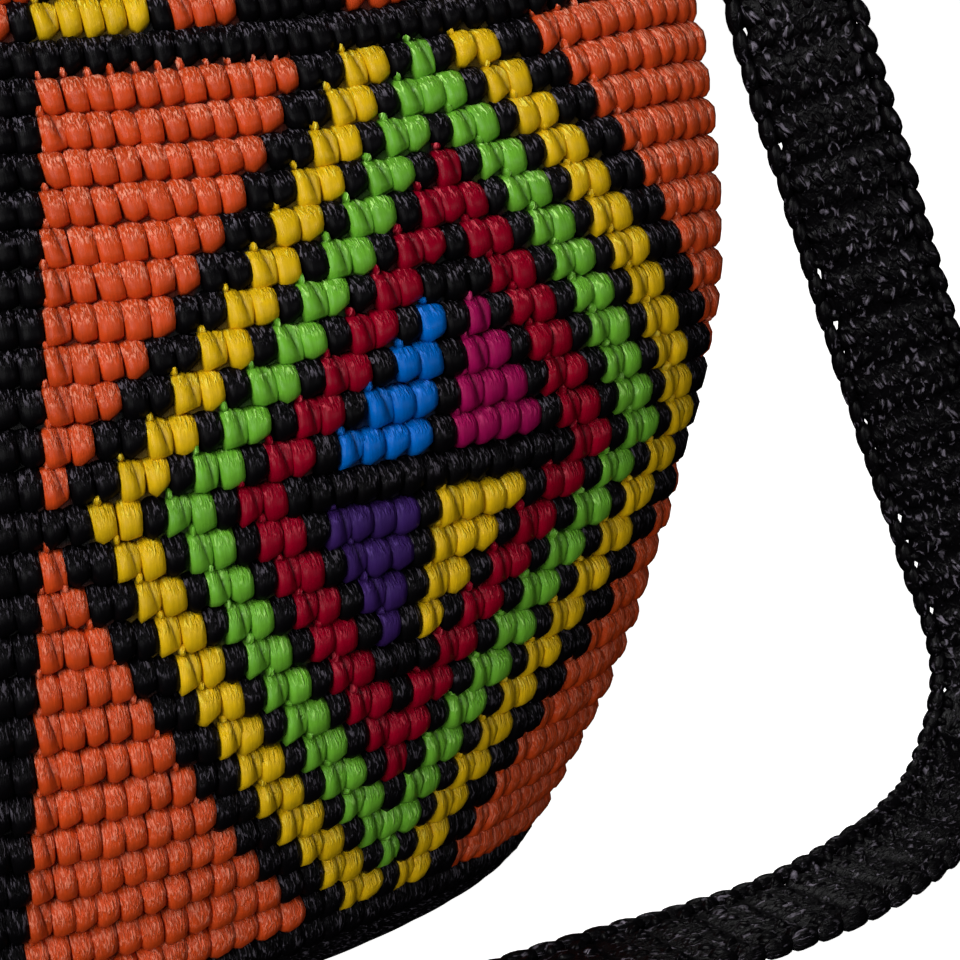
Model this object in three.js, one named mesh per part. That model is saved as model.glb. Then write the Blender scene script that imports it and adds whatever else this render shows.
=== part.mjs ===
// A crocheted straw shoulder bag that stands on its base: a hollow wall with a lens-shaped plan,
// a flat base with a turned-up edge, an edging round the open mouth, and one flat crocheted strap
// that falls from both sides of the rim and lies on the floor in front of the bag.
// Millimetres, +Z up. The origin is the middle of the base, on the floor. The bag faces -Y.
import * as THREE from 'three';

// Driving dimensions
const CROCHET = 4; // thickness of the crocheted wall and base
const JOIN_GAP = 0.3; // clearance between pieces that are sewn together
const BASE_EDGE_HEIGHT = 8; // how far the base turns up before the wall starts
const RIM_BOTTOM = 262; // where the edging starts
const RIM_PROUD = 0.5; // how far the edging stands out from the wall
const LENS_POWER = 1.5; // 1 gives an elliptical plan, 2 a plan with pointed sides
const RIM_ROUNDING = 1; // how far the edging's top is drawn in on both sides
const BASE_EDGE_SHARES = [0, 0.2, 0.55, 1]; // rings of the base's rounded edge, as shares of its height
const COVE_RISE = 1.2; // height of the inside corner above the base's inside floor
const STRAP_WIDTH = 29;
const STRAP_THICK = 5;
const STRAP_EDGE_SHARE = 0.7; // thickness of the strap's edges, as a share of its middle

// The outer surface: one row for each horizontal section, from the floor to the mouth
const SECTIONS = [
  { height: 0, halfWidth: 136, halfDepth: 91 },
  { height: 8, halfWidth: 143, halfDepth: 97.5 },
  { height: 24, halfWidth: 152.5, halfDepth: 99.5 },
  { height: 48, halfWidth: 164, halfDepth: 101 },
  { height: 84, halfWidth: 176, halfDepth: 97 },
  { height: 119, halfWidth: 184.5, halfDepth: 89 },
  { height: 152, halfWidth: 185, halfDepth: 72.5 },
  { height: 187, halfWidth: 180, halfDepth: 52 },
  { height: 215, halfWidth: 174.5, halfDepth: 45 },
  { height: 245, halfWidth: 169, halfDepth: 43 },
  { height: 270, halfWidth: 165, halfDepth: 43 },
];

// The right half of the strap's middle line, from its sewn end to the middle of the floor run.
// heading turns the strap's width in plan: 90 lies along Y, 0 along X. wrap bends its section
// round the side of the rim, and cups it where it turns on the floor. The left half mirrors it.
const STRAP_ROUTE = [
  { x: 173.6, y: 0, z: 243, heading: 90, wrap: 156 },
  { x: 170.2, y: 0, z: 268, heading: 90, wrap: 158 },
  { x: 171.4, y: 0.5, z: 290, heading: 90, wrap: 90 },
  { x: 180, y: 2, z: 304, heading: 84, wrap: 25 },
  { x: 190.5, y: 4, z: 301, heading: 74, wrap: 0 },
  { x: 195.5, y: 6, z: 280, heading: 56, wrap: 0 },
  { x: 196, y: 8, z: 248, heading: 33, wrap: 0 },
  { x: 197, y: 9, z: 214, heading: 12, wrap: 0 },
  { x: 202, y: 11, z: 178, heading: 2, wrap: 0 },
  { x: 213.5, y: 17, z: 140, heading: 0, wrap: 0 },
  { x: 226, y: 25, z: 100, heading: 0, wrap: 0 },
  { x: 239, y: 33, z: 60, heading: -2, wrap: 20 },
  { x: 247, y: 37, z: 32, heading: -6, wrap: 50 },
  { x: 249.5, y: 33, z: 13, heading: -12, wrap: 80 },
  { x: 245, y: 18, z: 4.4, heading: -22, wrap: 90 },
  { x: 232, y: -3, z: 2.7, heading: -33, wrap: 75 },
  { x: 212, y: -25.5, z: 2.6, heading: -45, wrap: 45 },
  { x: 186, y: -47, z: 2.6, heading: -54, wrap: 20 },
  { x: 150, y: -70, z: 2.6, heading: -59, wrap: 0 },
  { x: 100, y: -98, z: 2.6, heading: -65, wrap: 0 },
  { x: 50, y: -116, z: 2.6, heading: -76, wrap: 0 },
  { x: 0, y: -122, z: 2.6, heading: -90, wrap: 0 },
];

// How finely the surfaces are faceted
const RING_POINTS = 72;
const WALL_RINGS = 15;
const STRAP_STEPS = 96;
const STRAP_POINTS_ACROSS = 6;
const FLATTEST_WRAP = 1; // degrees; keeps the arc of a flat strap finite
const HALVINGS = 40; // steps in the search for a section's place on the profile

const straw = {
  base: new THREE.MeshStandardMaterial({ color: 0x0f0c0f, roughness: 0.6, metalness: 0 }),
  wall: new THREE.MeshStandardMaterial({ color: 0xb34225, roughness: 0.5, metalness: 0 }),
  rim: new THREE.MeshStandardMaterial({ color: 0x0f0c0f, roughness: 0.6, metalness: 0 }),
  strap: new THREE.MeshStandardMaterial({ color: 0x0d0b0d, roughness: 0.65, metalness: 0 }),
};

// The section at a height: the table's rows joined by one smooth curve, searched by halving
const profile = new THREE.CatmullRomCurve3(
  SECTIONS.map((row) => new THREE.Vector3(row.halfWidth, row.halfDepth, row.height)),
  false,
  'catmullrom',
);

function sectionAt(height) {
  let low = 0;
  let high = 1;
  for (let step = 0; step < HALVINGS; step += 1) {
    const middle = (low + high) / 2;
    if (profile.getPoint(middle).z < height) {
      low = middle;
    } else {
      high = middle;
    }
  }
  const point = profile.getPoint(low);
  return { height, halfWidth: point.x, halfDepth: point.y };
}

// One ring of the lens-shaped plan: x follows the sine of the turn, y a power of its cosine.
// grow widens the ring all round, or narrows it where negative.
function ring(section, grow = 0) {
  const points = [];
  for (let index = 0; index < RING_POINTS; index += 1) {
    const turn = (index / RING_POINTS) * 2 * Math.PI;
    const across = Math.cos(turn);
    const bulge = Math.sign(across) * Math.abs(across) ** LENS_POWER;
    points.push(new THREE.Vector3(
      (section.halfWidth + grow) * Math.sin(turn),
      -(section.halfDepth + grow) * bulge,
      section.height,
    ));
  }
  return points;
}

// A closed body through rings of equally many points. Joined in a cycle, the rings make a hollow
// wall; otherwise the first and last ring are closed by a fan about their middle.
function loft(rings, cycle) {
  const count = rings[0].length;
  const positions = rings.flat().flatMap((point) => point.toArray());
  const triangles = [];
  const spans = cycle ? rings.length : rings.length - 1;
  for (let level = 0; level < spans; level += 1) {
    const here = level * count;
    const there = ((level + 1) % rings.length) * count;
    for (let index = 0; index < count; index += 1) {
      const next = (index + 1) % count;
      triangles.push(here + index, here + next, there + next);
      triangles.push(here + index, there + next, there + index);
    }
  }
  if (!cycle) {
    const ends = [[0, rings[0], false], [(rings.length - 1) * count, rings.at(-1), true]];
    for (const [start, points, facesOn] of ends) {
      const middle = positions.length / 3;
      const centre = points.reduce((sum, point) => sum.add(point), new THREE.Vector3());
      positions.push(...centre.divideScalar(count).toArray());
      for (let index = 0; index < count; index += 1) {
        const next = (index + 1) % count;
        const pair = facesOn ? [start + index, start + next] : [start + next, start + index];
        triangles.push(middle, ...pair);
      }
    }
  }
  const geometry = new THREE.BufferGeometry();
  geometry.setAttribute('position', new THREE.Float32BufferAttribute(positions, 3));
  geometry.setIndex(triangles);
  geometry.computeVertexNormals();
  return geometry;
}

function heightsBetween(bottom, top, count) {
  return Array.from({ length: count }, (_, index) => bottom + ((top - bottom) * index) / (count - 1));
}

// The base: a flat bottom, a rounded edge that turns up, and the inside floor
function makeBase() {
  const outside = BASE_EDGE_SHARES.map((share) => ring(sectionAt(share * BASE_EDGE_HEIGHT)));
  const lip = ring(sectionAt(BASE_EDGE_HEIGHT), -CROCHET);
  const cove = ring({ ...sectionAt(BASE_EDGE_HEIGHT / 2), height: CROCHET + COVE_RISE }, -CROCHET);
  const floor = ring({ ...sectionAt(0), height: CROCHET }, -CROCHET / 2);
  return new THREE.Mesh(loft([...outside, lip, cove, floor], false), straw.base);
}

// The wall: up the outside and down the inside, open at both ends
function makeWall() {
  const heights = heightsBetween(BASE_EDGE_HEIGHT + JOIN_GAP, RIM_BOTTOM - JOIN_GAP, WALL_RINGS);
  const sections = heights.map(sectionAt);
  const outside = sections.map((section) => ring(section));
  const inside = sections.map((section) => ring(section, -CROCHET)).reverse();
  return new THREE.Mesh(loft([...outside, ...inside], true), straw.wall);
}

// The edging: a plump row that stands a little proud of the wall and is rounded at its top
function makeRim() {
  const top = SECTIONS.at(-1).height;
  const [low, middle, high] = heightsBetween(RIM_BOTTOM, top, 3).map(sectionAt);
  const outside = [ring(low, RIM_PROUD), ring(middle, RIM_PROUD), ring(high, -RIM_ROUNDING)];
  const inside = [ring(high, RIM_ROUNDING - CROCHET), ring(middle, -CROCHET), ring(low, -CROCHET)];
  return new THREE.Mesh(loft([...outside, ...inside], true), straw.rim);
}

// The strap's whole route: the right half, then its mirror image back to the left rim
function wholeRoute() {
  const mirrored = STRAP_ROUTE.slice(0, -1).reverse();
  const left = mirrored.map((row) => ({ ...row, x: -row.x, heading: -180 - row.heading }));
  return [...STRAP_ROUTE, ...left];
}

// The strap: a thin section carried along the route. At each step the width lies at the heading,
// made square to the route, and wrap bends the section into an arc about the route's own line.
function makeStrap() {
  const route = wholeRoute();
  const middleLine = new THREE.CatmullRomCurve3(
    route.map((row) => new THREE.Vector3(row.x, row.y, row.z)),
    false,
    'catmullrom',
  );
  const turning = new THREE.CatmullRomCurve3(
    route.map((row) => new THREE.Vector3(row.heading, row.wrap, 0)),
    false,
    'catmullrom',
  );
  const rings = [];
  for (let step = 0; step <= STRAP_STEPS; step += 1) {
    const along = step / STRAP_STEPS;
    const middle = middleLine.getPoint(along);
    const tangent = middleLine.getTangent(along);
    const turned = turning.getPoint(along);
    const heading = THREE.MathUtils.degToRad(turned.x);
    const bend = THREE.MathUtils.degToRad(Math.max(turned.y, FLATTEST_WRAP));
    const width = new THREE.Vector3(Math.cos(heading), Math.sin(heading), 0);
    width.addScaledVector(tangent, -width.dot(tangent)).normalize();
    const face = new THREE.Vector3().crossVectors(width, tangent);
    rings.push(strapSection(bend).map(([across, out]) => middle.clone()
      .addScaledVector(width, across)
      .addScaledVector(face, out)));
  }
  return new THREE.Mesh(loft(rings, false), straw.strap);
}

// The strap's section as [across, out] pairs: both faces of a band bent to an arc, with edges
// a little thinner than its middle
function strapSection(bend) {
  const radius = STRAP_WIDTH / bend;
  const points = [];
  for (const side of [1, -1]) {
    for (let index = 0; index < STRAP_POINTS_ACROSS; index += 1) {
      const share = index / (STRAP_POINTS_ACROSS - 1);
      const edge = index === 0 || index === STRAP_POINTS_ACROSS - 1;
      const half = (STRAP_THICK / 2) * (edge ? STRAP_EDGE_SHARE : 1);
      const angle = side * (share - 0.5) * bend;
      const reach = radius + side * half;
      points.push([reach * Math.sin(angle), reach * Math.cos(angle) - radius]);
    }
  }
  return points;
}

const group = new THREE.Group();
const pieces = {
  base: makeBase(),
  body_wall: makeWall(),
  rim_edge: makeRim(),
  strap: makeStrap(),
};
for (const [name, mesh] of Object.entries(pieces)) {
  mesh.name = name;
  group.add(mesh);
}

export default group;
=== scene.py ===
"""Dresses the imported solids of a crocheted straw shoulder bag: every stitch of its patterned wall,
its base, edging and strap, in raffia straw, on a plain pale floor."""

from typing import NamedTuple

import bpy
import numpy as np
from mathutils import Matrix


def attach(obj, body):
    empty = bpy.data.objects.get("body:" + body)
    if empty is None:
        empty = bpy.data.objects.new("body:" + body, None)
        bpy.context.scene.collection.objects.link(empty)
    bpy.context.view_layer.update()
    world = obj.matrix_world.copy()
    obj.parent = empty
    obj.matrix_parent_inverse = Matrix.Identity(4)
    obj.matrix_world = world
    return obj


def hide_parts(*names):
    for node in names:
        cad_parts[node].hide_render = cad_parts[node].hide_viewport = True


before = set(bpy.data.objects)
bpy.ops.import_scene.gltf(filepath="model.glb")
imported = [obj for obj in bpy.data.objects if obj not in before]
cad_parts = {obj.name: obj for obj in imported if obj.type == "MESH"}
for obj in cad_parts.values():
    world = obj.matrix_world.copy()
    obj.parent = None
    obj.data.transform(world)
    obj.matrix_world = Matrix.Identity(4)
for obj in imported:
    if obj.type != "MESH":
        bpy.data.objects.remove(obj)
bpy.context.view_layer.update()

bl_info = {
    "name": "Straw Shoulder Bag",
    "version": (1, 0, 0),
    "blender": (4, 5, 0),
    "location": "3D View > Sidebar > Straw Bag",
    "description": "Crochets a patterned straw shoulder bag over its solids, stitch by stitch",
    "category": "Add Mesh",
}

MM = 0.001
BODY = "root"

# The outer surface, as the solids have it: height, half width and half depth of each section, in mm
SECTIONS = np.array([
    (0, 136, 91),
    (8, 143, 97.5),
    (24, 152.5, 99.5),
    (48, 164, 101),
    (84, 176, 97),
    (119, 184.5, 89),
    (152, 185, 72.5),
    (187, 180, 52),
    (215, 174.5, 45),
    (245, 169, 43),
    (270, 165, 43),
])
LENS_POWER = 1.5  # 1 would give an elliptical plan, 2 one with pointed sides
WALL_BOTTOM = 8.3
WALL_TOP = 262.0
CROCHET = 4.0  # thickness of the wall and of the base

# The right half of the strap's middle line, in mm and degrees: x, y, z, the heading of its width in
# plan, and how far its section is bent round. It follows the solids' line, and turns onto the floor
# up to 5 mm inside it, in a rounder bow
STRAP_ROUTE = np.array([
    (173.6, 0, 243, 90, 156),
    (170.2, 0, 268, 90, 158),
    (171.4, 0.5, 290, 90, 90),
    (180, 2, 304, 84, 25),
    (190.5, 4, 301, 74, 0),
    (195.5, 6, 280, 56, 0),
    (196, 8, 248, 33, 0),
    (197, 9, 214, 12, 0),
    (202, 11, 178, 2, 0),
    (213.5, 17, 140, 0, 0),
    (226, 25, 100, 0, 0),
    (239.5, 33, 60, -2, 20),
    (248, 37, 32.5, -6, 50),
    (246.5, 34.5, 13, -10, 80),
    (240, 19, 5.2, -22.5, 85),
    (229.5, -2.5, 2.7, -33, 110),
    (210, -27.5, 2.6, -43.5, 58),
    (188.5, -45, 2.6, -54, 20),
    (150, -67.5, 2.6, -59, 15),
    (100, -98, 2.6, -65, 0),
    (50, -116, 2.6, -76, 0),
    (0, -122, 2.6, -90, 0),
])
STRAP_WIDTH = 29.0
FLATTEST_WRAP = 1.0  # degrees; keeps the arc of a flat strap finite

# The wall's stitches: 180 round, in 37 rows from the base edge to the edging
STITCHES_ROUND = 180
ROWS = 37
CHART_BOTTOM_ROW = 25  # chart number of the lowest row; chart rows count downwards
GIRTH_HALF_WIDTH = 184.4  # the section on which stitches are spaced evenly
GIRTH_HALF_DEPTH = 89.8
STITCH_WIDTH = 4.5
ROW_HEIGHT = 7.27
EVEN_ROWS = 27  # rows of that height; the rows above share what is left of the way up
# Where the lowest row starts on the way up from the wall's edge, and the rows' height, each as the
# value at the front middle and what the fourth and twelfth power of the sine of the way round add
ROW_START = (-7.08, 12.54, -12.02)
ROW_HEIGHTS = (ROW_HEIGHT, -0.4, 0.75)

# How the columns of stitches drift sideways, in stitches, from row to row of the chart
CHART_MIDDLE_ROW = 10.0
CHART_ROWS_SPAN = 15.0
DIAMOND_START = 29.70  # stitches from the front middle to the middle of the first diamond
DRIFT = (0, -1.18, -0.23, 5.14)  # with powers nought to three of the row's share of the span
# What is added midway between the diamonds, with the share's powers from nought to three
FIELD_DRIFT = (0.26, 1.49, 0.34, -5.1)
DRIFT_TOP = -0.7  # the drift stays as it is above this share
SIDE_SPREAD = -1.02  # stitches are pulled towards the sides of the lens-shaped plan
INVERSE_STEPS = 6

# The chart of colours
STRAWS = ("black", "orange", "yellow", "green", "red", "blue", "magenta", "purple")
BLACK, ORANGE, YELLOW, GREEN, RED, BLUE, MAGENTA, PURPLE = range(len(STRAWS))
DIAMOND_REPEAT = 36
DIAMOND_ROWS = 24
DIAMOND_BANDS = ((YELLOW, 1, 2), (GREEN, -2, -1), (RED, -5, -4))  # steps from the edge line
GROUND_STEP = 5
GROUND_REACH = 16
HEART_STEP = -7
PEAK_REPEAT = 18
PEAK_START = 14
PEAK_ROWS = 7
PEAK_EDGE = (5, 7)  # steps at which a peak's orange edge starts and ends
PEAK_HEART = 3  # step up to which a peak is yellow

# One stitch is a grid of points: shares of its width from the left, and of its height from below
STITCH_ACROSS = np.array([0, 0.08, 0.32, 0.68, 0.92, 1])
STITCH_UP = np.array([0, 0.06, 0.2, 0.42, 0.66, 0.86, 1])
# Its form, in shares of its pitch round the wall, of the row's height, or of how far it stands up
STITCH_WIDE = 1.17
STITCH_TOP = 1.05
SHOULDER_DROP = 0.12
FOOT_RISE = 0.16
FIELD_FOOT_RISE = 0.28  # at the lower end of a field of colour
TIP_LIFT = 0.8
TOP_NARROWING = 0.06
FOOT_NARROWING = 0.15
STANDS_UP_WITHIN = 0.35
SLOPES_BACK_FROM = 0.58
SLOPES_BACK_BY = 0.85
GROOVE_DEPTH = 0.12
GROOVE_PLACE = 0.24
GROOVE_LEAN = 0.1
GROOVE_HALF = 0.12
# Where its two strands part, as shares of its width at its foot and top, how wide and how deep, and
# the share of its height over which the parting starts
PARTING_FOOT = 0.84
PARTING_TOP = 0.5
PARTING_HALF = 0.07
PARTING_DEPTH = 0.55
PARTING_START = 0.3
PARTED_SHARE = 0.8  # of the stitches that start a run of colour
# The hook at a stitch's corner: its place and half size in shares of the stitch, and mm off its seat
HOOK_PLACE = (-0.4, 1.04)
HOOK_HALF = (0.19, 0.2)
HOOK_SLANT = 0.08
HOOK_HEIGHT = 1.5
HOOK_LIFT = 0.6

# Points of the grids across and up, or round and along, the smaller shapes
HOOK_POINTS = (4, 4)
STRAND_POINTS = (4, 4)
LOBE_POINTS = (6, 6)
LOBE_ENDS = (0.03, 0.97)  # shares of a loop's length at which it is closed

# How far apart the straw's pattern lies from one shape to the next
STITCH_APART = 7.31
HOOK_APART = 3.17
STRAND_APART = 5.3
LOOP_APART = 2.9
LINK_APART = 1.7
# Where the strap's strands and loops lie on that pattern, in mm along it, so that their creases and
# painted highlights show
STRAND_MIDDLE = 6
LOOP_MIDDLE = 4


def linear(code):
    """Linear colour of an sRGB hex code."""
    shares = np.array([int(code[start:start + 2], 16) for start in (0, 2, 4)]) / 255
    return tuple(np.where(shares <= 0.04045, shares / 12.92, ((shares + 0.055) / 1.055) ** 2.4))


def straw_property(label, code):
    return bpy.props.FloatVectorProperty(
        name=label, description=f"Colour of the {label.lower()} straw", subtype="COLOR",
        size=3, min=0, max=1, default=linear(code))


def length_property(label, description, millimetres):
    return bpy.props.FloatProperty(
        name=label, description=description, unit="LENGTH", precision=4, default=millimetres * MM)


def power_property(label, description, watts):
    return bpy.props.FloatProperty(name=label, description=description, unit="POWER", default=watts)


class STRAWBAG_PG_straws(bpy.types.PropertyGroup):
    """Colours of the straw that the bag is crocheted from."""

    black: straw_property("Black", "070608")
    orange: straw_property("Orange", "CE4718")
    yellow: straw_property("Yellow", "E1B50F")
    green: straw_property("Green", "6AAE30")
    red: straw_property("Red", "8C001E")
    blue: straw_property("Blue", "0063BE")
    magenta: straw_property("Magenta", "95094C")
    purple: straw_property("Purple", "341C59")


class STRAWBAG_PG_sizes(bpy.types.PropertyGroup):
    """Sizes of the crochet work."""

    stitch_height: length_property("Stitch height", "How far a stitch stands up from the backing", 3.1)
    stitch_seat: length_property("Stitch seat", "How far the backing lies inside the wall's face", 2.8)
    strap_core: length_property("Strap core", "Half thickness of the band behind its stitches", 0.5)
    strap_row: length_property("Strap row", "Length of one crochet row of the strap", 6.1)
    seed: bpy.props.IntProperty(
        name="Seed", description="Start of the stitches' irregularity", default=7)


class STRAWBAG_PG_stage(bpy.types.PropertyGroup):
    """Light and view."""

    key_power: power_property("Key light", "Power of the light above, at the left", 13.5)
    front_power: power_property("Front light", "Power of the wide light in front", 20.5)
    right_power: power_property("Right light", "Power of the light at the right", 5)
    back_power: power_property("Back light", "Power of the light behind", 7)
    lens: bpy.props.FloatProperty(name="Lens", description="Focal length of the camera in millimetres",
                                  default=94.12)


# Curves and surfaces


def smooth_curve(rows, at):
    """Points of a smooth curve through the rows, at row numbers that may be fractions: each stretch
    is the cubic whose end slopes are half the difference of the rows on either side."""
    padded = np.vstack([2 * rows[0] - rows[1], rows, 2 * rows[-1] - rows[-2]])
    index = np.clip(at.astype(int), 0, len(rows) - 2)
    share = (at - index)[:, None]
    before, start, end, after = (padded[index + offset] for offset in range(4))
    leave = (end - before) / 2
    arrive = (after - start) / 2
    cubic = 2 * (start - end) + leave + arrive
    square = 3 * (end - start) - 2 * leave - arrive
    return start + share * (leave + share * (square + share * cubic))


def signed_power(values, power):
    """The power of each value's size, with the value's sign. A power under one squares off a round
    section, and one over one sharpens it."""
    return np.sign(values) * np.abs(values) ** power


def ridges(place, power=0.6):
    """Round ridges, each one wide, with grooves at the whole numbers: a power of the sine's size."""
    return np.abs(np.sin(np.pi * place)) ** power


def lens_points(turn, half_width, half_depth, height=0.0):
    """Points of the lens-shaped plan: x follows the sine of the turn, y a power of its cosine. A
    turn of nought is the front, a quarter turn the right side."""
    x = half_width * np.sin(turn)
    y = -half_depth * signed_power(np.cos(turn), LENS_POWER)
    return np.stack(np.broadcast_arrays(x, y, height), axis=-1)


def running_length(points, axis=0):
    """Length along a line of points, from nought at its start."""
    steps = np.linalg.norm(np.diff(points, axis=axis), axis=-1)
    start = np.zeros_like(np.take(steps, [0], axis=axis))
    return np.concatenate([start, np.cumsum(steps, axis=axis)], axis=axis)


def unit(vectors):
    return vectors / np.linalg.norm(vectors, axis=-1, keepdims=True)


class WallFace:
    """The wall's outer face as a function of two numbers: the stitch, counted round from the front
    middle towards the right, and the row, counted up from the base edge. Stitches have equal
    lengths on the widest section. Rows have equal heights on the way up at each stitch, as far as
    the border, and wave a little on the way round."""

    SAMPLES = 600
    LOWEST = 0.5
    HIGHEST = 269.9
    ROW_SAMPLES = 161
    ROW_RANGE = (-0.8, ROWS + 1.1)

    def __init__(self):
        curve = smooth_curve(SECTIONS, np.linspace(0, len(SECTIONS) - 1, self.SAMPLES))
        self.heights, self.half_widths, self.half_depths = curve.T
        turns = np.linspace(0, 2 * np.pi, 4 * self.SAMPLES + 1)
        walked = running_length(lens_points(turns, GIRTH_HALF_WIDTH, GIRTH_HALF_DEPTH))
        self.turns = turns
        self.stitch_at_turn = walked / walked[-1] * STITCHES_ROUND
        stitches = np.arange(STITCHES_ROUND + 1.0)
        heights = np.linspace(self.LOWEST, self.HIGHEST, self.SAMPLES)
        ways = running_length(self.at_height(stitches[None, :], heights[:, None]))
        self.rows = np.linspace(*self.ROW_RANGE, self.ROW_SAMPLES)
        side = np.sin(2 * np.pi * stitches / STITCHES_ROUND)
        waves = np.stack([np.ones_like(side), side ** 4, side ** 12])
        starts, pitches = np.array([ROW_START, ROW_HEIGHTS]) @ waves
        self.row_heights = np.stack(
            [self.heights_up(heights, *line) for line in zip(ways.T, starts, pitches)], axis=1)

    def heights_up(self, heights, way, start, pitch):
        """Heights of the row samples on one stitch's way up the wall."""
        bottom, top = np.interp((WALL_BOTTOM, WALL_TOP), heights, way)
        border = bottom + start + EVEN_ROWS * pitch
        below = EVEN_ROWS + (way - border) / pitch
        above = EVEN_ROWS + (way - border) / (top - border) * (ROWS - EVEN_ROWS)
        return np.interp(self.rows, np.where(way < border, below, above), heights)

    def turn(self, stitch):
        return np.interp(np.mod(stitch, STITCHES_ROUND), self.stitch_at_turn, self.turns)

    def half_sizes(self, height):
        return [np.interp(height, self.heights, half) for half in (self.half_widths, self.half_depths)]

    def at_height(self, stitch, height):
        return lens_points(self.turn(stitch), *self.half_sizes(height), height)

    def height(self, stitch, row):
        """Height at a stitch and row, between the four nearest samples."""
        stitch = np.mod(stitch, STITCHES_ROUND)
        step = self.rows[1] - self.rows[0]
        level = np.clip((row - self.rows[0]) / step, 0, len(self.rows) - 1.001)
        low, left = level.astype(int), stitch.astype(int)
        up, right = level - low, stitch - left
        table = self.row_heights
        lower = table[low, left] * (1 - right) + table[low, left + 1] * right
        upper = table[low + 1, left] * (1 - right) + table[low + 1, left + 1] * right
        return lower * (1 - up) + upper * up

    def point(self, stitch, row):
        return self.at_height(stitch, self.height(stitch, row))

    def outward(self, stitch, row, reach=0.4):
        """Square to the face: the cross product of its slopes along the stitches and the rows."""
        round_slope = self.point(stitch + reach, row) - self.point(stitch - reach, row)
        up_slope = self.point(stitch, row + reach) - self.point(stitch, row - reach)
        return unit(np.cross(round_slope, up_slope))

    def lifted(self, stitch, row, lift):
        """Points at a distance from the face, outwards where it is positive, in mm."""
        return self.point(stitch, row) + self.outward(stitch, row) * lift[..., None]


class StrapBand:
    """The strap's band as a function of three numbers in mm: the way along it, the way across from
    its middle line, and the height off its middle surface. The width lies at the route's heading,
    made square to the route, and the section is bent to an arc by the wrap."""

    SAMPLES = 3000

    def __init__(self):
        mirrored = STRAP_ROUTE[-2::-1] * (-1, 1, 1, -1, 1) - (0, 0, 0, 180, 0)
        route = np.vstack([STRAP_ROUTE, mirrored])
        curve = smooth_curve(route, np.linspace(0, len(route) - 1, self.SAMPLES))
        middle = curve[:, :3]
        heading = np.radians(curve[:, 3])
        tangent = unit(np.gradient(middle, axis=0))
        width = np.stack([np.cos(heading), np.sin(heading), np.zeros_like(heading)], axis=-1)
        width = unit(width - tangent * np.sum(width * tangent, axis=-1, keepdims=True))
        self.way = running_length(middle)
        self.length = self.way[-1]
        bend = np.radians(np.maximum(curve[:, 4], FLATTEST_WRAP))[:, None]
        self.columns = np.hstack([middle, width, np.cross(width, tangent), bend])

    def point(self, along, across, off):
        along, across, off = np.broadcast_arrays(along, across, off)
        columns = [np.interp(along, self.way, column) for column in self.columns.T]
        middle, width, face = (np.stack(columns[start:start + 3], axis=-1) for start in (0, 3, 6))
        bend = columns[9]
        radius = STRAP_WIDTH / bend
        angle = across / STRAP_WIDTH * bend
        reach = radius + off
        sideways = (reach * np.sin(angle))[..., None]
        outwards = (reach * np.cos(angle) - radius)[..., None]
        return middle + width * sideways + face * outwards


# The chart of colours


def wrapped(number, repeat):
    """The number within half a repeat of nought."""
    return np.mod(number + repeat // 2, repeat) - repeat // 2


def straw_at(row, column):
    """Straw of the stitch at a chart row and column. Rows 0 to 24 hold the stepped diamonds, whose
    edge line lies as many stitches from the middle as its row is from the nearer tip. The bands
    lie at set steps from that line. Rows above hold a border of small stepped peaks."""
    side = wrapped(column, DIAMOND_REPEAT)
    across = np.abs(side)
    step = across - np.minimum(row, DIAMOND_ROWS - row)
    straw = np.full(np.broadcast(row, column).shape, BLACK)
    for band, first, last in DIAMOND_BANDS:
        straw[(step >= first) & (step <= last)] = band
    straw[(step >= GROUND_STEP) & (across <= GROUND_REACH)] = ORANGE
    heart = step <= HEART_STEP
    middle = DIAMOND_ROWS // 2
    straw[heart & (row < middle) & (side < 0)] = BLUE
    straw[heart & (row < middle) & (side > 0)] = MAGENTA
    straw[heart & (row > middle) & (side < 0)] = PURPLE
    straw[heart & (row > middle) & (side > 0)] = YELLOW
    peak = np.abs(wrapped(column + PEAK_START, PEAK_REPEAT)) - row
    border = np.where((peak >= PEAK_EDGE[0]) & (peak <= PEAK_EDGE[1]), ORANGE, BLACK)
    border = np.where(peak <= PEAK_HEART, YELLOW, border)
    border = np.where(row >= -PEAK_ROWS, border, BLACK)
    straw = np.where(row < 0, border, straw)
    return np.where((row == 0) | (row >= CHART_BOTTOM_ROW), BLACK, straw)


def chart_row_at(row):
    """Chart row, as a fraction, at a height in rows above the base edge."""
    return CHART_BOTTOM_ROW + 0.5 - row


def drift(column, row):
    """How far a chart column lies round from even spacing at a height in rows, in stitches: a pull
    towards the sides, a cubic of the row, and a second cubic that grows from the middle of each
    diamond to halfway to the next."""
    pull = SIDE_SPREAD * np.sin(4 * np.pi * (column + DIAMOND_START) / STITCHES_ROUND)
    share = np.maximum((chart_row_at(row) - CHART_MIDDLE_ROW) / CHART_ROWS_SPAN, DRIFT_TOP)
    between = (1 - np.cos(2 * np.pi * column / DIAMOND_REPEAT)) / 2
    return pull + np.polyval(DRIFT[::-1], share) + between * np.polyval(FIELD_DRIFT[::-1], share)


def stitch_place(column, row):
    """Stitches round from the front middle at a chart column and a height in rows."""
    return column + DIAMOND_START + drift(column, row)


def column_place(stitch, row):
    """Chart column at a place round the wall: stitch_place undone, in steps that come ever nearer."""
    column = stitch - DIAMOND_START
    for _ in range(INVERSE_STEPS):
        column = stitch - DIAMOND_START - drift(column, row)
    return column


# Meshes

ATTRIBUTE_KEYS = {"FLOAT": "value", "FLOAT_VECTOR": "vector", "FLOAT_COLOR": "color"}


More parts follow.
